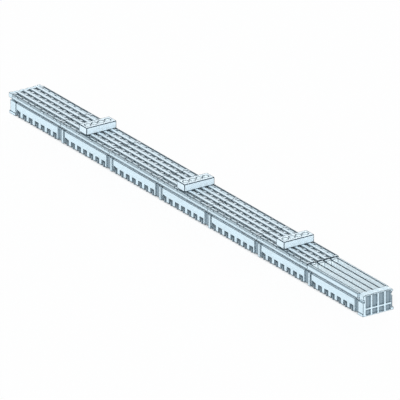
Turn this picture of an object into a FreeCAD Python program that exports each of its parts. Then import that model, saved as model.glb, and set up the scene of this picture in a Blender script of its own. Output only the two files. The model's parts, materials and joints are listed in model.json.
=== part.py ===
"""Four-pole insulated busbar: seven moulded channel modules in a row carry four flat bars on edge.

Slotted covers clip over six of the modules and the seventh is left open for the incoming connection.
Three connection blocks plug in across the covers, and an end cap closes each end.
Millimetres. X runs along the bars, Y across the poles, Z up from the face the busbar lies on.
"""

import FreeCAD, Part
import math
import os

from FreeCAD import Vector

# Layout along the bars
MODULES = 7
MODULE_LENGTH = 200.0
NOTCH_PITCH = 25.0
COVERS = 6
CAP_LENGTH_RIGHT = 20.0
CAP_LENGTH_LEFT = 10.0
CAP_LIP = 4.0

# Poles and bars
POLES = 4
POLE_PITCH = 18.0
PARTITION = 3.0
BAR_THICKNESS = 10.0
BAR_HEIGHT = 18.0
BAR_SETBACK = 3.0

# Heights of the housing section
WALL_FOOT = 3.0
FLOOR_UNDER = 16.0
FLOOR_TOP = 19.5
GROOVE_FOOT = 33.0
RAIL_FOOT = 39.0
RAIL_TOP = 50.0

# Half widths of the housing section
RAIL_Y = 42.0
RAIL_BEVEL = 2.0
PANEL_Y = 41.3
CAP_WALL_Y = 40.5
CAP_RAIL_Y = 40.0
RECESS_Y = 38.3
GROOVE_Y = 37.0

# Side panels, joint ribs and the comb along the foot of each wall
PANEL_START = 15.5
PANEL_STOP = 12.0
RIB_START = 2.5
RIB_STOP = 10.0
BRIDGE_CLEARANCE = 0.5
NOTCH_WIDTH = 14.0
NOTCH_TOP = 15.0
TONGUE_WIDTH = 5.0
TONGUE_TOP = 11.0
TONGUE_SETBACK = 0.5

# Slotted covers
COVER_GAP = 1.0
COVER_TOP = 51.3
RIDGE_TOP = 52.6
RIDGE_WIDTH = 8.0
SKIRT_FOOT = 45.6
SKIRT_THICKNESS = 1.05
SKIRT_CLEARANCE = 0.15
INNER_SLOTS = 8
INNER_SLOT_LENGTH = 15.4
OUTER_SLOTS = 7
OUTER_SLOT_LENGTH = 22.5
SLOT_PITCH = 26.4
END_WEB = 3.0
SLOT_WIDTH = POLE_PITCH - RIDGE_WIDTH
SNAP_TABS = 4
SNAP_TAB_PITCH = 2 * SLOT_PITCH
SNAP_TAB_LENGTH = 14.0
SNAP_TAB_HEIGHT = 4.0
SNAP_TAB_PROUD = 0.7
SNAP_TAB_SIDES = 3

# End caps, and the hoods that they share with the bridges of the open module
END_PLATE = 5.0
POCKET_DEPTH = 3.0
POCKET_WIDTH = 12.0
UPPER_POCKET_TOP = 48.0
LOWER_POCKET_FOOT = 2.5
LOWER_POCKET_TOP = 14.5
PLINTH_TOP = 6.0
HOOD_TOP = COVER_TOP
CAP_SKIRT = 12.0
CAP_RAIL_GAP = 4.0
EDGE_STEP = 4.0
EDGE_STEP_Y = 35.5
EDGE_STEP_TOP = 45.0

# Connection blocks
BLOCKS = 3
FIRST_BLOCK = 290.0
BLOCK_PITCH = 2 * MODULE_LENGTH
BLOCK_LENGTH = 30.6
BLOCK_HALF_WIDTH = 40.6
BLOCK_TOP = 70.5
WELL_DIAMETER = 13.0

# Derived places
BARS_LENGTH = MODULES * MODULE_LENGTH
LEFT_END = -CAP_LENGTH_LEFT - CAP_LIP
RIGHT_END = BARS_LENGTH + CAP_LENGTH_RIGHT
MIDDLE = (LEFT_END + RIGHT_END) / 2
CHANNEL = POLE_PITCH - PARTITION
WALL_INSIDE = (POLES * POLE_PITCH - PARTITION) / 2
POLE_CENTRES = [(i - (POLES - 1) / 2) * POLE_PITCH for i in range(POLES)]
ROW_CENTRES = [(i - POLES / 2) * POLE_PITCH for i in range(POLES + 1)]
BRIDGE_FOOT = FLOOR_TOP + BAR_HEIGHT + BRIDGE_CLEARANCE
OUTER_WEB = (POLES / 2 - 1) * POLE_PITCH
NOTCHES = int(MODULE_LENGTH / NOTCH_PITCH) - 1


def box(x0, x1, y0, y1, z0, z1):
    return Part.makeBox(x1 - x0, y1 - y0, z1 - z0, Vector(x0, y0, z0))


def outline(points):
    """Closed wire in the YZ plane from (y, z) or (y, z, bevel) corners; a bevel cuts that corner off."""
    corners = [Vector(0, p[0], p[1]) for p in points]
    path = []
    for i, point in enumerate(points):
        corner = corners[i]
        if len(point) == 2:
            path.append(corner)
            continue
        before = (corners[i - 1] - corner).normalize()
        after = (corners[(i + 1) % len(corners)] - corner).normalize()
        path += [corner + before * point[2], corner + after * point[2]]
    return Part.makePolygon([*path, path[0]])


def prism(points, x0, x1):
    """Solid between x0 and x1 with that YZ outline."""
    solid = Part.Face(outline(points)).extrude(Vector(x1 - x0, 0, 0))
    solid.translate(Vector(x0, 0, 0))
    return solid


def mirrored(points):
    """The same corners on the other side of the middle plane, in the order that continues the outline."""
    return [(-p[0], *p[1:]) for p in reversed(points)]


def wall_outside(wall_y, foot, rail_y):
    """Outside of one side wall from its foot to the top of its rail: wall, groove, overhanging rail."""
    return [
        (wall_y, foot),
        (wall_y, GROOVE_FOOT),
        (GROOVE_Y, GROOVE_FOOT),
        (GROOVE_Y, RAIL_FOOT),
        (rail_y, RAIL_FOOT),
        (rail_y, RAIL_TOP, RAIL_BEVEL),
    ]


def channels_from_above():
    """Corners of the open channels, walked from +Y to -Y along the tops of the partitions."""
    corners = []
    for y in reversed(POLE_CENTRES):
        high, low = y + CHANNEL / 2, y - CHANNEL / 2
        corners += [(high, RAIL_TOP), (high, FLOOR_TOP), (low, FLOOR_TOP), (low, RAIL_TOP)]
    return corners


def cavities_from_below():
    """Corners of the cavities under the floor, walked from -Y to +Y along the feet of the webs."""
    corners = []
    for y in POLE_CENTRES:
        low, high = y - CHANNEL / 2, y + CHANNEL / 2
        corners += [(low, 0), (low, FLOOR_UNDER), (high, FLOOR_UNDER), (high, 0)]
    corners[0] = (corners[0][0], WALL_FOOT)
    corners[-1] = (corners[-1][0], WALL_FOOT)
    return corners


def channel_section():
    outside = wall_outside(RECESS_Y, WALL_FOOT, RAIL_Y)
    return outside + channels_from_above() + mirrored(outside) + cavities_from_below()


def both_sides(solid):
    """The solid and its mirror image across the middle plane."""
    return [solid, solid.mirror(Vector(), Vector(0, 1, 0))]


def hood(y, x0, x1):
    """Shallow round-topped hood over one pole, standing on the level of the rails."""
    low = Vector(x0, y - POLE_PITCH / 2, RAIL_TOP)
    top = Vector(x0, y, HOOD_TOP)
    high = Vector(x0, y + POLE_PITCH / 2, RAIL_TOP)
    edges = [Part.Arc(low, top, high).toShape(), Part.LineSegment(high, low).toShape()]
    return Part.Face(Part.Wire(edges)).extrude(Vector(x1 - x0, 0, 0))


def housing_module(x0, has_rib, has_bridges):
    """One moulded module: channels above a floor, webs below it, raised side panels with a comb of notches.

    In every notch stands a tongue that grows out of the outermost web under the floor.
    Modules after the first have a joint rib up both sides.
    The open one also has a hooded bridge over every bar, level with that rib, that closes off the covered run.
    """
    x1 = x0 + MODULE_LENGTH
    start, stop = x0 + RIB_START, x0 + RIB_STOP
    raised = both_sides(
        box(x0 + PANEL_START, x1 - PANEL_STOP, RECESS_Y, PANEL_Y, WALL_FOOT, GROOVE_FOOT)
    )
    if has_rib:
        raised += both_sides(box(start, stop, WALL_INSIDE, PANEL_Y, 0, GROOVE_FOOT))
    if has_bridges:
        raised.append(box(start, stop, -WALL_INSIDE, WALL_INSIDE, BRIDGE_FOOT, RAIL_TOP))
        raised += [hood(y, start, stop) for y in POLE_CENTRES]
    stations = [x0 + NOTCH_PITCH * (i + 1) for i in range(NOTCHES)]
    notches = []
    tongues = []
    for x in stations:
        notch = box(x - NOTCH_WIDTH / 2, x + NOTCH_WIDTH / 2, WALL_INSIDE, RAIL_Y, 0, NOTCH_TOP)
        notches += both_sides(notch)
        half = TONGUE_WIDTH / 2
        tongues += both_sides(box(x - half, x + half, OUTER_WEB, PANEL_Y - TONGUE_SETBACK, 0, TONGUE_TOP))
    body = prism(channel_section(), x0, x1).fuse(raised)
    return body.cut(notches).fuse(tongues).removeSplitter()


def cover_section():
    """Flat cover with a raised rib over every pole and a skirt down the outside of each rail."""
    skirt_inside = RAIL_Y + SKIRT_CLEARANCE
    skirt_outside = skirt_inside + SKIRT_THICKNESS
    side = [
        (skirt_inside, RAIL_TOP),
        (skirt_inside, SKIRT_FOOT),
        (skirt_outside, SKIRT_FOOT),
        (skirt_outside, COVER_TOP),
    ]
    ribs = []
    for y in reversed(POLE_CENTRES):
        high, low = y + RIDGE_WIDTH / 2, y - RIDGE_WIDTH / 2
        ribs += [(high, COVER_TOP), (high, RIDGE_TOP), (low, RIDGE_TOP), (low, COVER_TOP)]
    return side + ribs + mirrored(side)


def snap_tab(x):
    """Half-moon lug that hangs from the top edge of the +Y skirt, centred on x."""
    face = RAIL_Y + SKIRT_CLEARANCE + SKIRT_THICKNESS
    steps = range(SNAP_TAB_SIDES + 1)
    angles = [math.pi * (1 + i / SNAP_TAB_SIDES) for i in steps]
    rim = [
        Vector(x + SNAP_TAB_LENGTH / 2 * math.cos(a), face, RAIL_TOP + SNAP_TAB_HEIGHT * math.sin(a))
        for a in angles
    ]
    return Part.Face(Part.makePolygon([*rim, rim[0]])).extrude(Vector(0, SNAP_TAB_PROUD, 0))


def slotted_cover(x0):
    """Cover for one module: five rows of contact slots, longer ones over the rails, and snap tabs on the skirts."""
    x1 = x0 + MODULE_LENGTH
    start, stop = x0 + COVER_GAP / 2, x1 - COVER_GAP / 2
    centre = (x0 + x1) / 2
    tabs = []
    for i in range(SNAP_TABS):
        tabs += both_sides(snap_tab(centre + SNAP_TAB_PITCH * (i - (SNAP_TABS - 1) / 2)))
    slots = []
    for y in ROW_CENTRES:
        over_rail = abs(y) > WALL_INSIDE
        count = OUTER_SLOTS if over_rail else INNER_SLOTS
        length = OUTER_SLOT_LENGTH if over_rail else INNER_SLOT_LENGTH
        for i in range(count):
            x = centre + SLOT_PITCH * (i - (count - 1) / 2)
            low = max(x - length / 2, start + END_WEB)
            high = min(x + length / 2, stop - END_WEB)
            slots.append(box(low, high, y - SLOT_WIDTH / 2, y + SLOT_WIDTH / 2, RAIL_TOP, RIDGE_TOP))
    return prism(cover_section(), start, stop).fuse(tabs).cut(slots).removeSplitter()


def busbar(y):
    """One flat bar on edge, running through every module and into both end caps."""
    start = -CAP_LENGTH_LEFT + END_PLATE + BAR_SETBACK
    stop = RIGHT_END - END_PLATE - BAR_SETBACK
    half = BAR_THICKNESS / 2
    return box(start, stop, y - half, y + half, FLOOR_TOP, FLOOR_TOP + BAR_HEIGHT)


def end_cap(outer_end, inner_end):
    """Hooded cap with one room for the bar ends, one below its floor, and two pockets in its plate per pole."""
    inward = 1 if inner_end > outer_end else -1
    x0, x1 = sorted((outer_end, inner_end))
    room = sorted((outer_end + inward * END_PLATE, inner_end))
    pocket = sorted((outer_end, outer_end + inward * POCKET_DEPTH))
    outside = wall_outside(CAP_WALL_Y, 0, CAP_RAIL_Y)
    body = prism(outside + mirrored(outside), x0, x1).fuse([hood(y, x0, x1) for y in POLE_CENTRES])
    levels = ((0, FLOOR_UNDER), (FLOOR_TOP, UPPER_POCKET_TOP))
    hollows = [box(*room, -WALL_INSIDE, WALL_INSIDE, *level) for level in levels]
    half = POCKET_WIDTH / 2
    for y in POLE_CENTRES:
        hollows.append(box(*pocket, y - half, y + half, FLOOR_TOP, UPPER_POCKET_TOP))
        hollows.append(box(*pocket, y - half, y + half, LOWER_POCKET_FOOT, LOWER_POCKET_TOP))
    return body.cut(hollows)


def end_cap_right():
    """Cap at the open module, with a gap beside its rail and its plate stepped back along the +Y edge."""
    x0, x1 = BARS_LENGTH, RIGHT_END
    plinths = both_sides(box(x0, x1, WALL_INSIDE, PANEL_Y, 0, PLINTH_TOP))
    cuts = both_sides(box(x0, x0 + CAP_RAIL_GAP, GROOVE_Y, RAIL_Y, RAIL_FOOT, RAIL_TOP))
    cuts.append(box(x1 - EDGE_STEP, x1, EDGE_STEP_Y, RAIL_Y, PLINTH_TOP, EDGE_STEP_TOP))
    return end_cap(x1, x0).fuse(plinths).cut(cuts).removeSplitter()


def end_cap_left():
    """Cap that also wraps the plain end of the first module, with lips past its plate at rail and foot."""
    x0 = -CAP_LENGTH_LEFT
    pieces = both_sides(box(x0, CAP_SKIRT, RECESS_Y, CAP_WALL_Y, 0, GROOVE_FOOT))
    pieces += both_sides(box(LEFT_END, CAP_SKIRT, RECESS_Y, PANEL_Y, 0, PLINTH_TOP))
    pieces += both_sides(box(LEFT_END, 0, WALL_INSIDE, RAIL_Y, RAIL_FOOT, RAIL_TOP))
    return end_cap(x0, 0).fuse(pieces).removeSplitter()


def connection_block(x):
    """Block that stands across the ribs of a cover, with a round well through it over each pole."""
    body = box(
        x - BLOCK_LENGTH / 2,
        x + BLOCK_LENGTH / 2,
        -BLOCK_HALF_WIDTH,
        BLOCK_HALF_WIDTH,
        RIDGE_TOP,
        BLOCK_TOP,
    )
    depth = BLOCK_TOP - RIDGE_TOP
    wells = [Part.makeCylinder(WELL_DIAMETER / 2, depth, Vector(x, y, RIDGE_TOP)) for y in POLE_CENTRES]
    return body.cut(wells)


def build():
    parts = {"end_cap_left": end_cap_left(), "end_cap_right": end_cap_right()}
    for i in range(MODULES):
        parts[f"housing_module_{i + 1}"] = housing_module(MODULE_LENGTH * i, i > 0, i >= COVERS)
    for i in range(COVERS):
        parts[f"slotted_cover_{i + 1}"] = slotted_cover(MODULE_LENGTH * i)
    for i, y in enumerate(POLE_CENTRES):
        parts[f"busbar_{i + 1}"] = busbar(y)
    for i in range(BLOCKS):
        parts[f"connection_block_{i + 1}"] = connection_block(FIRST_BLOCK + BLOCK_PITCH * i)
    return parts


def main():
    os.makedirs("parts", exist_ok=True)
    for name, shape in build().items():
        if len(shape.Solids) != 1 or not shape.isValid():
            raise RuntimeError(f"{name} is not one valid solid")
        solid = shape.Solids[0]
        solid.translate(Vector(-MIDDLE, 0, 0))
        solid.exportStep(f"parts/{name}.step")


main()
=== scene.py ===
"""Finished look of the insulated busbar: soft edges, rings round the wells, finishes, light, camera."""

import json
import math

import bpy
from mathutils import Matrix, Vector


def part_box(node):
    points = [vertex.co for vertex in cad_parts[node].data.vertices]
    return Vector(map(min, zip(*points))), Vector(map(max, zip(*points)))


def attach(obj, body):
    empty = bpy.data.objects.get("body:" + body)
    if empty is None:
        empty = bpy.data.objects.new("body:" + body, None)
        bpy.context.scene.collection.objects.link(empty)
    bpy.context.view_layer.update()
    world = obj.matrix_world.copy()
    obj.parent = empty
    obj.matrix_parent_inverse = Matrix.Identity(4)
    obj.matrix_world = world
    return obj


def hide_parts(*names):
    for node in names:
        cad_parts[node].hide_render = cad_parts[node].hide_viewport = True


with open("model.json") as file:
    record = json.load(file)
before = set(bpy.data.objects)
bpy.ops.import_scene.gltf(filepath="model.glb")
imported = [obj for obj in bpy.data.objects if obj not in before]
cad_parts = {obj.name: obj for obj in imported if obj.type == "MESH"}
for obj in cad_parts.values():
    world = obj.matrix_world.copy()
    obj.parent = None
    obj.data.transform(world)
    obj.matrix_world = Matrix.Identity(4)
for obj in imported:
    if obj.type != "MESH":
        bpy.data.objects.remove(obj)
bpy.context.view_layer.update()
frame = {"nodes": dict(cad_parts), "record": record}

# One millimetre in the frame's metres
MM = 0.001

# Levels and half widths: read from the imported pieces, set off from them, or measured up from the floor
RIDGE_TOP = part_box("slotted_cover_1")[1].z
SKIRT_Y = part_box("slotted_cover_1")[1].y
RAIL_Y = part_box("housing_module_1")[1].y
RAIL_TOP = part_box("housing_module_1")[1].z
RECESS_Y = RAIL_Y - 3.7 * MM
GROOVE_Y = RAIL_Y - 5.0 * MM
WALL_INSIDE_Y = RAIL_Y - 7.5 * MM
TONGUE_Y = RAIL_Y - 1.2 * MM
GROOVE_FOOT = 33.0 * MM
FLOOR_UNDER = 16.0 * MM
CAP_ENDS = (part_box("end_cap_left")[0].x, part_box("end_cap_right")[1].x)

# Depths in the end plates between which the floors of the pockets lie
POCKET_LEAST = 2.0 * MM
POCKET_MOST = 8.0 * MM

# Where finishes meet on the covers and on the rails' tops, as distances from the middle plane
STRIP_Y = RAIL_Y - 1.6 * MM
RAIL_PAINTED_SHADE_Y = RAIL_Y - 3.8 * MM
RAIL_LINE_Y = WALL_INSIDE_Y + 2.4 * MM
RAIL_RIM_Y = RAIL_Y - 3.0 * MM

# Levels and distances this close count as the same
NEARLY = 0.33 * MM

# A face looks along an axis where more than this share of its normal does
FACING = 0.9

# A wall is upright where less than this share of its normal looks up or down
UPRIGHT = 0.1

# The chamfers of the joint recesses look up by a share between these two
CHAMFER_LEAST = 0.6
CHAMFER_MOST = 0.8

# Merging of a copied piece's loose triangles: widest gap, and largest turn within one flat face
MERGE_GAP = 0.002 * MM
FLAT_ANGLE = math.radians(0.5)

# Edge softness of each kind of piece, as the mould or the saw leaves it
HOUSING_EDGE = 0.8 * MM
COVER_EDGE = 0.5 * MM
CAP_EDGE = 0.6 * MM
BLOCK_EDGE = 1.6 * MM
BAR_EDGE = 0.8 * MM
EDGE_STEPS = 2
EDGE_PROFILE = 0.8

# Edges that turn more than the first angle are softened, and those under the second are shaded smooth
SHARP_ANGLE = math.radians(50)
SMOOTH_ANGLE = math.radians(20)

# How far the rounding of the normals reaches that finds the edges for the dirt lines
HOUSING_LINE = 2.7 * MM
COVER_LINE = 2.7 * MM
WEB_LINE = 4.5 * MM
CAP_LINE = 3.0 * MM
BLOCK_LINE = 2.7 * MM

# Round wells of the connection blocks
WELL_SIDES = 64
RIM_WIDTH = 2.0 * MM
RIM_DEPTH = 0.3 * MM

# Shade painted into grooves and deep cavities, darker the less open they are: its reach, the openness
# at which it is full and the one at which it ends, and its depth
PAINTED_CREVICE_SHADE = ((6.0 * MM, 0.2, 0.7, 0.4), (25.0 * MM, 0.05, 0.25, 0.3))

# Sizes of the patterns in the plastic: patches of pigment, marks of its flow in the mould,
# and the mould's spark-eroded grain, drawn coarser than it is so that it shows
PIGMENT_PATCH = 45 * MM
FLOW_LENGTH = 120 * MM
FLOW_WIDTH = 4 * MM
GRAIN_SIZE = 0.7 * MM
GRAIN_RELIEF = 0.03 * MM

# Worn and dirty stretches along the edges
DIRT_STRETCH = 9 * MM

# Sizes of the patterns in the tin: drawing lines and dull patches of bloom
DRAWN_LENGTH = 60 * MM
DRAWN_WIDTH = 0.6 * MM
DRAWN_RELIEF = 0.02 * MM
BLOOM_PATCH = 25 * MM

# Studio: floor in metres, reach of the shadow on it, strength of the light from all round
# and of what shows as white, spread of the lamps
FLOOR_SIZE = 12.0
SHADOW_REACH = 14 * MM
SKY_LIGHT = 0.48
SEEN_WHITE = 1.0
LAMP_SPREAD = math.radians(25)

# The drawing's view: a parallel projection, taken here by a very long lens from far off
VIEW_AZIMUTH = math.radians(56.2)
VIEW_ELEVATION = math.radians(22.75)
LENS_MM = 1690.0
SENSOR_MM = 36.0
FRAME_WIDTH = 0.9015
VIEW_TARGET = Vector((0.0041, 0.0, 0.0247))
CLIP_NEAR = 1.0
CLIP_FAR = 200.0

# Colours as the eye reads them, in sRGB
PALE_BLUE = "#D3E8F3"
RIDGE_BLUE = "#D8ECF7"
# Painted light: walls of channels and wells, paler than the plastic to make up for the shade inside them
CHANNEL_PAINTED_LIGHT = "#EEFAFF"
# Painted shade: sides and skirts of the covers
COVER_PAINTED_SHADE = "#9DB0BA"
BLOCK_BLUE = "#DDEFF9"
# Painted shade in crevices; also the duller stretches of the edge dirt
SHADE_AND_DIRT_GREY = "#3F545F"
EDGE_GREY = "#2F424D"
# Painted shade: greys of recesses, grooves, cover webs, strips over the rails and cavities
RECESS_PAINTED_SHADE = "#8699A4"
GROOVE_PAINTED_SHADE = "#CDDDE6"
WEB_PAINTED_SHADE = "#C6D7E1"
STRIP_PAINTED_SHADE = "#62757F"
CAVITY_PAINTED_SHADE = "#8C9FAA"
TIN_GREY = "#CBD4D9"
TIN_DULL = "#A9B5BB"
FLOOR_WHITE = "#F4F6F7"
PURE_WHITE = "#FFFFFF"


def linear(colour):
    """Linear RGBA of an sRGB hex colour."""
    values = [int(colour[i:i + 2], 16) / 255 for i in (1, 3, 5)]
    return [v / 12.92 if v <= 0.04045 else ((v + 0.055) / 1.055) ** 2.4 for v in values] + [1.0]


def add_node(tree, kind, settings=None, links=None):
    """New shader node with its settings and its inputs set to values or linked to sockets."""
    node = tree.nodes.new(kind)
    for name, value in (settings or {}).items():
        setattr(node, name, value)
    for name, value in (links or {}).items():
        socket = node.inputs[name]
        if isinstance(value, bpy.types.NodeSocket):
            tree.links.new(value, socket)
        else:
            socket.default_value = value
    return node


def new_material(name):
    """Empty node material and the shader that everything in it leads to."""
    material = bpy.data.materials.new(name)
    material.use_nodes = True
    tree = material.node_tree
    return material, tree, tree.nodes["Principled BSDF"]


def moulded_polyamide(name, colour, line_reach=0.0, crevices=PAINTED_CREVICE_SHADE):
    """Injection-moulded polyamide: satin, with spark-eroded grain, faint flow marks and painted shade in
    its crevices.

    Where line_reach is given, a line of handling dirt runs along both sides of every edge,
    about half as wide as that.
    """
    material, tree, shader = new_material(name)
    place = add_node(tree, "ShaderNodeTexCoord").outputs["Object"]
    # Cloudy pigment
    cloud = add_node(
        tree,
        "ShaderNodeTexNoise",
        links={"Vector": place, "Scale": 1 / PIGMENT_PATCH, "Detail": 3.0},
    )
    # Flow marks along the mould
    along = add_node(
        tree,
        "ShaderNodeMapping",
        links={"Vector": place, "Scale": (1 / FLOW_LENGTH, 1 / FLOW_WIDTH, 1 / FLOW_WIDTH)},
    )
    flow = add_node(
        tree,
        "ShaderNodeTexNoise",
        links={"Vector": along.outputs["Vector"], "Scale": 1.0, "Detail": 2.0},
    )
    marks = add_node(
        tree,
        "ShaderNodeMath",
        {"operation": "ADD"},
        {0: cloud.outputs["Fac"], 1: flow.outputs["Fac"]},
    )
    tone = add_node(
        tree,
        "ShaderNodeMapRange",
        links={
            "Value": marks.outputs[0],
            "From Min": 0.7,
            "From Max": 1.3,
            "To Min": 0.95,
            "To Max": 1.03,
        },
    )
    pigment = add_node(
        tree,
        "ShaderNodeMix",
        {"data_type": "RGBA", "blend_type": "MULTIPLY"},
        {0: 1.0, 6: linear(colour), 7: tone.outputs["Result"]},
    )
    # Painted shade: grooves, slots and cavities turn towards a dark grey the less open they are
    shaded = pigment
    for reach, darkest, clear, depth in crevices:
        shade = add_node(tree, "ShaderNodeAmbientOcclusion", {"samples": 10}, {"Distance": reach})
        painted_shade_amount = add_node(
            tree,
            "ShaderNodeMapRange",
            {"interpolation_type": "SMOOTHSTEP"},
            {
                "Value": shade.outputs["AO"],
                "From Min": darkest,
                "From Max": clear,
                "To Min": depth,
                "To Max": 0.0,
            },
        )
        shaded = add_node(
            tree,
            "ShaderNodeMix",
            {"data_type": "RGBA"},
            {0: painted_shade_amount.outputs["Result"], 6: shaded.outputs[2], 7: linear(SHADE_AND_DIRT_GREY)},
        )
    # Hands leave dirt where the rounded normal turns away from the flat one, which is along the edges
    if line_reach:
        rounded = add_node(tree, "ShaderNodeBevel", {"samples": 8}, {"Radius": line_reach})
        flat = add_node(tree, "ShaderNodeNewGeometry").outputs["True Normal"]
        turn = add_node(
            tree,
            "ShaderNodeVectorMath",
            {"operation": "DOT_PRODUCT"},
            {0: rounded.outputs["Normal"], 1: flat},
        )
        line = add_node(
            tree,
            "ShaderNodeMapRange",
            links={
                "Value": turn.outputs["Value"],
                "From Min": 0.9,
                "From Max": 0.975,
                "To Min": 0.9,
                "To Max": 0.0,
            },
        )
        shaded = add_node(
            tree,
            "ShaderNodeMix",
            {"data_type": "RGBA"},
            {0: line.outputs["Result"], 6: shaded.outputs[2], 7: linear(EDGE_GREY)},
        )
    tree.links.new(shaded.outputs[2], shader.inputs["Base Color"])
    # Spark-eroded grain of the mould, drawn coarser than it is so that it shows
    grain = add_node(
        tree,
        "ShaderNodeTexNoise",
        links={"Vector": place, "Scale": 1 / GRAIN_SIZE, "Detail": 2.0},
    )
    satin = add_node(
        tree,
        "ShaderNodeMapRange",
        links={
            "Value": grain.outputs["Fac"],
            "From Min": 0.3,
            "From Max": 0.7,
            "To Min": 0.42,
            "To Max": 0.58,
        },
    )
    tree.links.new(satin.outputs["Result"], shader.inputs["Roughness"])
    relief = add_node(
        tree,
        "ShaderNodeBump",
        links={"Strength": 0.25, "Distance": GRAIN_RELIEF, "Height": grain.outputs["Fac"]},
    )
    tree.links.new(relief.outputs["Normal"], shader.inputs["Normal"])
    shader.inputs["IOR"].default_value = 1.53
    return material


def edge_dirt(name):
    """Handling dirt settled along moulded edges: matt, dark, a little uneven along the edge."""
    material, tree, shader = new_material(name)
    place = add_node(tree, "ShaderNodeTexCoord").outputs["Object"]
    stretches = add_node(
        tree,
        "ShaderNodeTexNoise",
        links={"Vector": place, "Scale": 1 / DIRT_STRETCH, "Detail": 3.0},
    )
    wear = add_node(
        tree,
        "ShaderNodeMapRange",
        links={
            "Value": stretches.outputs["Fac"],
            "From Min": 0.4,
            "From Max": 0.7,
            "To Min": 0.0,
            "To Max": 0.5,
        },
    )
    dirt = add_node(
        tree,
        "ShaderNodeMix",
        {"data_type": "RGBA"},
        {0: wear.outputs["Result"], 6: linear(EDGE_GREY), 7: linear(SHADE_AND_DIRT_GREY)},
    )
    tree.links.new(dirt.outputs[2], shader.inputs["Base Color"])
    shader.inputs["Roughness"].default_value = 0.85
    shader.inputs["Specular IOR Level"].default_value = 0.15
    return material


def tinned_copper(name):
    """Tin-plated copper bar: soft white metal, drawn lengthwise, with slightly duller patches."""
    material, tree, shader = new_material(name)
    place = add_node(tree, "ShaderNodeTexCoord").outputs["Object"]
    # Drawing lines along the bar
    along = add_node(
        tree,
        "ShaderNodeMapping",
        links={"Vector": place, "Scale": (1 / DRAWN_LENGTH, 1 / DRAWN_WIDTH, 1 / DRAWN_WIDTH)},
    )
    lines = add_node(
        tree,
        "ShaderNodeTexNoise",
        links={"Vector": along.outputs["Vector"], "Scale": 1.0, "Detail": 3.0},
    )
    # Dull bloom on the tin
    bloom = add_node(
        tree,
        "ShaderNodeTexNoise",
        links={"Vector": place, "Scale": 1 / BLOOM_PATCH, "Detail": 4.0},
    )
    patches = add_node(
        tree,
        "ShaderNodeMapRange",
        links={
            "Value": bloom.outputs["Fac"],
            "From Min": 0.35,
            "From Max": 0.75,
            "To Min": 0.0,
            "To Max": 0.7,
        },
    )
    plate = add_node(
        tree,
        "ShaderNodeMix",
        {"data_type": "RGBA"},
        {0: patches.outputs["Result"], 6: linear(TIN_GREY), 7: linear(TIN_DULL)},
    )
    tree.links.new(plate.outputs[2], shader.inputs["Base Color"])
    polish = add_node(
        tree,
        "ShaderNodeMapRange",
        links={
            "Value": lines.outputs["Fac"],
            "From Min": 0.3,
            "From Max": 0.7,
            "To Min": 0.3,
            "To Max": 0.45,
        },
    )
    tree.links.new(polish.outputs["Result"], shader.inputs["Roughness"])
    relief = add_node(
        tree,
        "ShaderNodeBump",
        links={"Strength": 0.2, "Distance": DRAWN_RELIEF, "Height": lines.outputs["Fac"]},
    )
    tree.links.new(relief.outputs["Normal"], shader.inputs["Normal"])
    shader.inputs["Metallic"].default_value = 1.0
    return material


def near(value, target):
    """True where the value is nearly the target."""
    return abs(value - target) < NEARLY


def housing_finish_of(face):
    """Painted grey shade on joint recesses, tongues and cavities, paler painted shade in grooves, painted
    light in channels.
    """
    side = abs(face.center.y)
    is_outside = face.normal.y * face.center.y > 0 and abs(face.normal.y) > FACING
    if is_outside and (near(side, RECESS_Y) or near(side, TONGUE_Y)):
        return "recess"
    if is_outside and near(side, GROOVE_Y):
        return "groove"
    if face.normal.z > FACING and near(face.center.z, GROOVE_FOOT):
        return "groove"
    if CHAMFER_LEAST < face.normal.z < CHAMFER_MOST and side > WALL_INSIDE_Y:
        return "recess"
    if face.center.z < FLOOR_UNDER and abs(face.normal.x) > FACING:
        return "cavity"
    if side < WALL_INSIDE_Y + NEARLY:
        if face.center.z < FLOOR_UNDER + NEARLY:
            return "cavity"
        if abs(face.normal.z) < UPRIGHT:
            return "channel"
    return "body"


def covered_housing_finish_of(face):
    """As housing_finish_of, with the grooves' painted shade on partition tops and the cavities' on the
    rails' outer top halves.
    """
    if face.normal.z > FACING and near(face.center.z, RAIL_TOP):
        if abs(face.center.y) < WALL_INSIDE_Y:
            return "groove"
        # Painted shade on the outer halves of the rails' tops, under the covers
        if abs(face.center.y) > RAIL_PAINTED_SHADE_Y:
            return "cavity"
    return housing_finish_of(face)


def open_housing_finish_of(face):
    """As housing_finish_of, with dark partition tops and both edges of the rails' tops dark."""
    is_top = face.normal.z > FACING and near(face.center.z, RAIL_TOP)
    is_middle = RAIL_LINE_Y < abs(face.center.y) < RAIL_RIM_Y
    return "edge" if is_top and not is_middle else housing_finish_of(face)


def cover_finish_of(face):
    """Pale ridges and tabs, painted shade in greys on webs, sides and the strips over the rails, dark
    ends of covers and slots.
    """
    if abs(face.normal.x) > FACING:
        return "edge"
    if face.normal.z > FACING:
        if near(face.center.z, RIDGE_TOP):
            return "ridge"
        return "strip" if abs(face.center.y) > STRIP_Y else "web"
    is_tab = abs(face.normal.y) > FACING and near(abs(face.center.y), SKIRT_Y)
    return "ridge" if is_tab else "body"


def cap_finish_of(face):
    """Painted shade in grey on the floors of the pockets in the end plates."""
    depth = min(abs(face.center.x - end) for end in CAP_ENDS)
    outward = face.normal.x * face.center.x > 0
    is_floor = abs(face.normal.x) > FACING and POCKET_LEAST < depth < POCKET_MOST
    return "recess" if outward and is_floor else "body"


def plain_finish_of(face):
    """One finish all over."""
    return "body"


def give_finishes(piece, finishes, finish_of):
    """Put the finishes on the piece and share its faces out among them."""
    piece.data.materials.clear()
    for finish in finishes.values():
        piece.data.materials.append(finish)
    order = list(finishes)
    for face in piece.data.polygons:
        face.material_index = order.index(finish_of(face))


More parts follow.
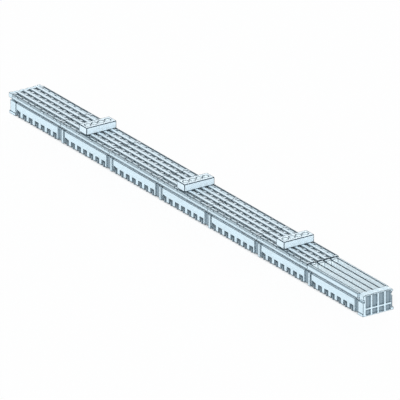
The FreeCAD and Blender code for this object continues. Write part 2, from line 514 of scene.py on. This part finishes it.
def soften(piece, width, finishes):
    """Soften the sharp edges of the active piece and put the finish called edge on them."""
    bevel = piece.modifiers.new("softened edges", "BEVEL")
    bevel.width = width
    bevel.segments = EDGE_STEPS
    bevel.profile = EDGE_PROFILE
    bevel.limit_method = "ANGLE"
    bevel.angle_limit = SHARP_ANGLE
    bevel.miter_outer = "MITER_ARC"
    bevel.use_clamp_overlap = False
    bevel.material = list(finishes).index("edge")
    bpy.ops.object.modifier_apply(modifier=bevel.name)


def clean_inside(piece, finishes):
    """Take the dirt off the edges inside the channels, which the covers keep from hands, and give them
    the grooves' painted shade.
    """
    order = list(finishes)
    for face in piece.data.polygons:
        is_between = abs(face.center.y) < WALL_INSIDE_Y + HOUSING_EDGE
        is_above = face.center.z > FLOOR_UNDER + HOUSING_EDGE
        is_edge = face.material_index == order.index("edge")
        if is_between and is_above and is_edge:
            face.material_index = order.index("groove")


def stand_in(piece, node):
    """Let the finished, active piece stand for a packed one, with no corner past that one's box."""
    low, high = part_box(node)
    for vertex in piece.data.vertices:
        vertex.co = [min(max(value, least), most) for value, least, most in zip(vertex.co, low, high)]
    bpy.ops.object.shade_smooth_by_angle(angle=SMOOTH_ANGLE)
    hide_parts(node)
    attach(piece, "root")


def dressed_copy(node, name, finishes, finish_of, edge, slot, borders=(), is_covered=False):
    """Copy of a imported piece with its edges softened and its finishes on, standing in for that piece.

    The softened edges carry the finish called edge, and finish_of names the finish of every other face.
    Faces are split along the borders, the distances from the middle plane where finishes meet.
    """
    bpy.ops.object.select_all(action="DESELECT")
    mesh = frame["nodes"][node].data.copy()
    piece = bpy.data.objects.new(name, mesh)
    bpy.context.scene.collection.objects.link(piece)
    piece.select_set(True)
    bpy.context.view_layer.objects.active = piece
    bpy.ops.object.mode_set(mode="EDIT")
    bpy.ops.mesh.select_all(action="SELECT")
    bpy.ops.mesh.remove_doubles(threshold=MERGE_GAP)
    bpy.ops.mesh.tris_convert_to_quads(face_threshold=FLAT_ANGLE, shape_threshold=math.pi)
    for distance in borders:
        for y in (-distance, distance):
            bpy.ops.mesh.select_all(action="SELECT")
            bpy.ops.mesh.bisect(plane_co=(0, y, 0), plane_no=(0, 1, 0))
    bpy.ops.object.mode_set(mode="OBJECT")
    give_finishes(piece, finishes, finish_of)
    soften(piece, edge, finishes)
    if is_covered:
        clean_inside(piece, finishes)
    stand_in(piece, node)


def well_plug(well, foot, top):
    """Round plug with a flared head, in the shape of one well and the shallow ring round its mouth."""
    radius = well["dims"]["r_mm"] * MM
    x, y, _ = well["pos_m"]
    neck = top - RIM_DEPTH
    bpy.ops.object.select_all(action="DESELECT")
    bpy.ops.mesh.primitive_cylinder_add(
        vertices=WELL_SIDES,
        radius=radius,
        depth=neck - foot + RIM_DEPTH,
        location=(x, y, (neck + foot - RIM_DEPTH) / 2),
    )
    bpy.ops.object.transform_apply(location=True, rotation=False, scale=False)
    plug = bpy.context.object
    bpy.ops.object.mode_set(mode="EDIT")
    bpy.ops.mesh.select_mode(type="FACE")
    bpy.ops.mesh.select_all(action="DESELECT")
    bpy.ops.object.mode_set(mode="OBJECT")
    for face in plug.data.polygons:
        face.select = face.normal.z > FACING
    bpy.ops.object.mode_set(mode="EDIT")
    # The head goes on past the top of the block at the same slope
    bpy.ops.mesh.extrude_region_move(TRANSFORM_OT_translate={"value": (0, 0, 2 * RIM_DEPTH)})
    flare = 1 + 2 * RIM_WIDTH / radius
    bpy.ops.transform.resize(value=(flare, flare, 1), center_override=(x, y, top + RIM_DEPTH))
    bpy.ops.object.mode_set(mode="OBJECT")
    return plug


def plug_finish_of(face):
    """Painted light on the wall of a well, dirt in the ring round its mouth."""
    return "well" if abs(face.normal.z) < UPRIGHT else "edge"


def connection_block(node, finishes):
    """Plug-in block across the covers: soft-edged, with a round well over each pole."""
    low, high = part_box(node)
    bpy.ops.object.select_all(action="DESELECT")
    bpy.ops.mesh.primitive_cube_add(size=1.0, location=(low + high) / 2, scale=high - low)
    bpy.ops.object.transform_apply(location=True, rotation=False, scale=True)
    piece = bpy.context.object
    piece.name = f"finished_{node}"
    give_finishes(piece, finishes, plain_finish_of)
    soften(piece, BLOCK_EDGE, finishes)
    number = node.rpartition("_")[2]
    well_name = f"block_{number}_well"
    wells = [mount for mount in frame["record"]["mounts"] if mount["name"].startswith(well_name)]
    for well in wells:
        plug = well_plug(well, low.z, high.z)
        give_finishes(plug, finishes, plug_finish_of)
        bpy.context.view_layer.objects.active = piece
        cut = piece.modifiers.new("well", "BOOLEAN")
        cut.operation = "DIFFERENCE"
        cut.solver = "EXACT"
        cut.object = plug
        bpy.ops.object.modifier_apply(modifier=cut.name)
        bpy.data.objects.remove(plug)
    bpy.ops.object.select_all(action="DESELECT")
    piece.select_set(True)
    stand_in(piece, node)


# Finishes: the plastic in its own colour and in painted light and shade, the dirt on its edges, and the
# tinned bars
pale = moulded_polyamide("pale blue moulded polyamide", PALE_BLUE, HOUSING_LINE)
# Painted light on the walls of channels and wells, with no painted crevice shade
painted_light_in_channels = moulded_polyamide("channel polyamide with painted light", CHANNEL_PAINTED_LIGHT, crevices=())
ridge = moulded_polyamide("pale ridge polyamide", RIDGE_BLUE, COVER_LINE)
# Painted shade on the sides and skirts of the covers
grey = moulded_polyamide("cover polyamide in painted shade", COVER_PAINTED_SHADE)
# Painted shade on joint recesses, tongues, chamfers and the floors of the end plates' pockets
painted_shade_on_recesses = moulded_polyamide("shaded recess polyamide", RECESS_PAINTED_SHADE)
# Painted light shade in the groove under the rails, on partition tops under the covers and on edges
# inside the channels
painted_shade_in_grooves = moulded_polyamide("shaded groove polyamide", GROOVE_PAINTED_SHADE)
# Painted dark shade on the covers' strips over the rails
painted_shade_on_strips = moulded_polyamide("shaded strip polyamide", STRIP_PAINTED_SHADE)
# Painted shade on the webs between the slots, which lie lower than the ridges
painted_shade_on_webs = moulded_polyamide("web polyamide in painted shade", WEB_PAINTED_SHADE, WEB_LINE)
# Painted shade in the cavities under the floor and on the outer halves of the rails' tops under the
# covers
painted_shade_in_cavities = moulded_polyamide("shaded cavity polyamide", CAVITY_PAINTED_SHADE)
cap_pale = moulded_polyamide("end cap moulded polyamide", PALE_BLUE, CAP_LINE)
edge_line = edge_dirt("handled edge dirt")
block_pale = moulded_polyamide("block moulded polyamide", BLOCK_BLUE, BLOCK_LINE)
tin = tinned_copper("drawn tinned copper")

HOUSING_FINISHES = {
    "body": pale,
    "edge": edge_line,
    "recess": painted_shade_on_recesses,
    "groove": painted_shade_in_grooves,
    "channel": painted_light_in_channels,
    "cavity": painted_shade_in_cavities,
}
COVER_FINISHES = {
    "body": grey,
    "edge": edge_line,
    "ridge": ridge,
    "web": painted_shade_on_webs,
    "strip": painted_shade_on_strips,
}
CAP_FINISHES = {"body": cap_pale, "edge": edge_line, "recess": painted_shade_on_recesses}
BAR_FINISHES = {"body": tin, "edge": tin}
BLOCK_FINISHES = {"body": block_pale, "edge": edge_line, "well": painted_light_in_channels}

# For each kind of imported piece: its finishes, how its faces share them, its edge, its slot, the borders
# where its finishes meet, and whether covers lie over it. The open module stands before the others,
# because a piece takes the first kind that its name starts with
KINDS = {
    "housing_module_7": (
        HOUSING_FINISHES,
        open_housing_finish_of,
        HOUSING_EDGE,
        "housing_plastic",
        [RAIL_LINE_Y, RAIL_RIM_Y],
    ),
    "housing_module": (
        HOUSING_FINISHES,
        covered_housing_finish_of,
        HOUSING_EDGE,
        "housing_plastic",
        [RAIL_PAINTED_SHADE_Y],
        True,
    ),
    "slotted_cover": (
        COVER_FINISHES,
        cover_finish_of,
        COVER_EDGE,
        "cover_plastic",
        [STRIP_Y],
    ),
    "end_cap": (CAP_FINISHES, cap_finish_of, CAP_EDGE, "end_cap_plastic"),
    "busbar": (BAR_FINISHES, plain_finish_of, BAR_EDGE, "tinned_copper"),
}
for node_name in list(frame["nodes"]):
    if node_name.startswith("connection_block"):
        connection_block(node_name, BLOCK_FINISHES)
    else:
        kind = next(key for key in KINDS if node_name.startswith(key))
        dressed_copy(node_name, f"finished_{node_name}", *KINDS[kind])

# Floor: white to the eye, still dimmed where the busbar stands on it
bpy.ops.object.select_all(action="DESELECT")
bpy.ops.mesh.primitive_plane_add(size=FLOOR_SIZE, location=(0, 0, 0))
floor = bpy.context.object
floor.name = "studio_floor"
floor_finish, floor_tree, floor_shader = new_material("white studio paper")
floor_shader.inputs["Base Color"].default_value = linear(FLOOR_WHITE)
floor_shader.inputs["Roughness"].default_value = 0.9
floor_shader.inputs["Specular IOR Level"].default_value = 0.1
path = add_node(floor_tree, "ShaderNodeLightPath")
seen = add_node(
    floor_tree,
    "ShaderNodeMath",
    {"operation": "MAXIMUM"},
    {0: path.outputs["Is Camera Ray"], 1: path.outputs["Is Glossy Ray"]},
)
seen_all = add_node(
    floor_tree,
    "ShaderNodeMath",
    {"operation": "MAXIMUM"},
    {0: seen.outputs[0], 1: path.outputs["Is Transmission Ray"]},
)
# Under the busbar and in its notches the paper stays in shadow
under = add_node(floor_tree, "ShaderNodeAmbientOcclusion", {"samples": 16}, {"Distance": SHADOW_REACH})
open_paper = add_node(
    floor_tree,
    "ShaderNodeMapRange",
    {"interpolation_type": "SMOOTHSTEP"},
    {
        "Value": under.outputs["AO"],
        "From Min": 0.45,
        "From Max": 0.8,
        "To Min": 0.0,
        "To Max": 0.9,
    },
)
lift = add_node(
    floor_tree,
    "ShaderNodeMath",
    {"operation": "MULTIPLY"},
    {0: seen_all.outputs[0], 1: open_paper.outputs["Result"]},
)
white = add_node(
    floor_tree,
    "ShaderNodeEmission",
    links={"Color": linear(PURE_WHITE), "Strength": SEEN_WHITE},
)
paper = add_node(
    floor_tree,
    "ShaderNodeMixShader",
    links={0: lift.outputs[0], 1: floor_shader.outputs["BSDF"], 2: white.outputs["Emission"]},
)
floor_tree.links.new(paper.outputs["Shader"], floor_tree.nodes["Material Output"].inputs["Surface"])
floor.data.materials.append(floor_finish)

# World: even white light from all round, plain white where it is looked at
world = bpy.data.worlds.new("white studio")
bpy.context.scene.world = world
world.use_nodes = True
sky = world.node_tree
sky.nodes.clear()
sky_path = add_node(sky, "ShaderNodeLightPath")
sky_seen = add_node(
    sky,
    "ShaderNodeMath",
    {"operation": "MAXIMUM"},
    {0: sky_path.outputs["Is Camera Ray"], 1: sky_path.outputs["Is Transmission Ray"]},
)
glow = add_node(
    sky,
    "ShaderNodeMapRange",
    links={"Value": sky_seen.outputs[0], "To Min": SKY_LIGHT, "To Max": SEEN_WHITE},
)
background = add_node(
    sky,
    "ShaderNodeBackground",
    links={"Color": linear(PURE_WHITE), "Strength": glow.outputs["Result"]},
)
add_node(sky, "ShaderNodeOutputWorld", links={"Surface": background.outputs["Background"]})

# Two soft lamps, each with its strength and direction: the main one from the viewer's corner,
# so that tops, sides and ends read alike, and a fill behind
LAMPS = {
    "corner lamp": (2.35, Vector((-0.8, 0.72, -0.85))),
    "fill lamp": (0.6, Vector((1.0, -1.0, -0.5))),
}
for lamp_name, (strength, direction) in LAMPS.items():
    lamp_data = bpy.data.lights.new(lamp_name, "SUN")
    lamp_data.energy = strength
    lamp_data.angle = LAMP_SPREAD
    lamp = bpy.data.objects.new(lamp_name, lamp_data)
    bpy.context.scene.collection.objects.link(lamp)
    lamp.rotation_euler = direction.to_track_quat("-Z", "Y").to_euler()

# Camera
away = Vector((
    math.sin(VIEW_AZIMUTH) * math.cos(VIEW_ELEVATION),
    -math.cos(VIEW_AZIMUTH) * math.cos(VIEW_ELEVATION),
    math.sin(VIEW_ELEVATION),
))
camera_data = bpy.data.cameras.new("long lens")
camera_data.lens = LENS_MM
camera_data.sensor_width = SENSOR_MM
camera_data.clip_start = CLIP_NEAR
camera_data.clip_end = CLIP_FAR
camera = bpy.data.objects.new("long lens", camera_data)
bpy.context.scene.collection.objects.link(camera)
camera.location = VIEW_TARGET + away * (FRAME_WIDTH * LENS_MM / SENSOR_MM)
camera.rotation_euler = (-away).to_track_quat("-Z", "Y").to_euler()
bpy.context.scene.camera = camera
bpy.context.scene.view_settings.view_transform = "Standard"
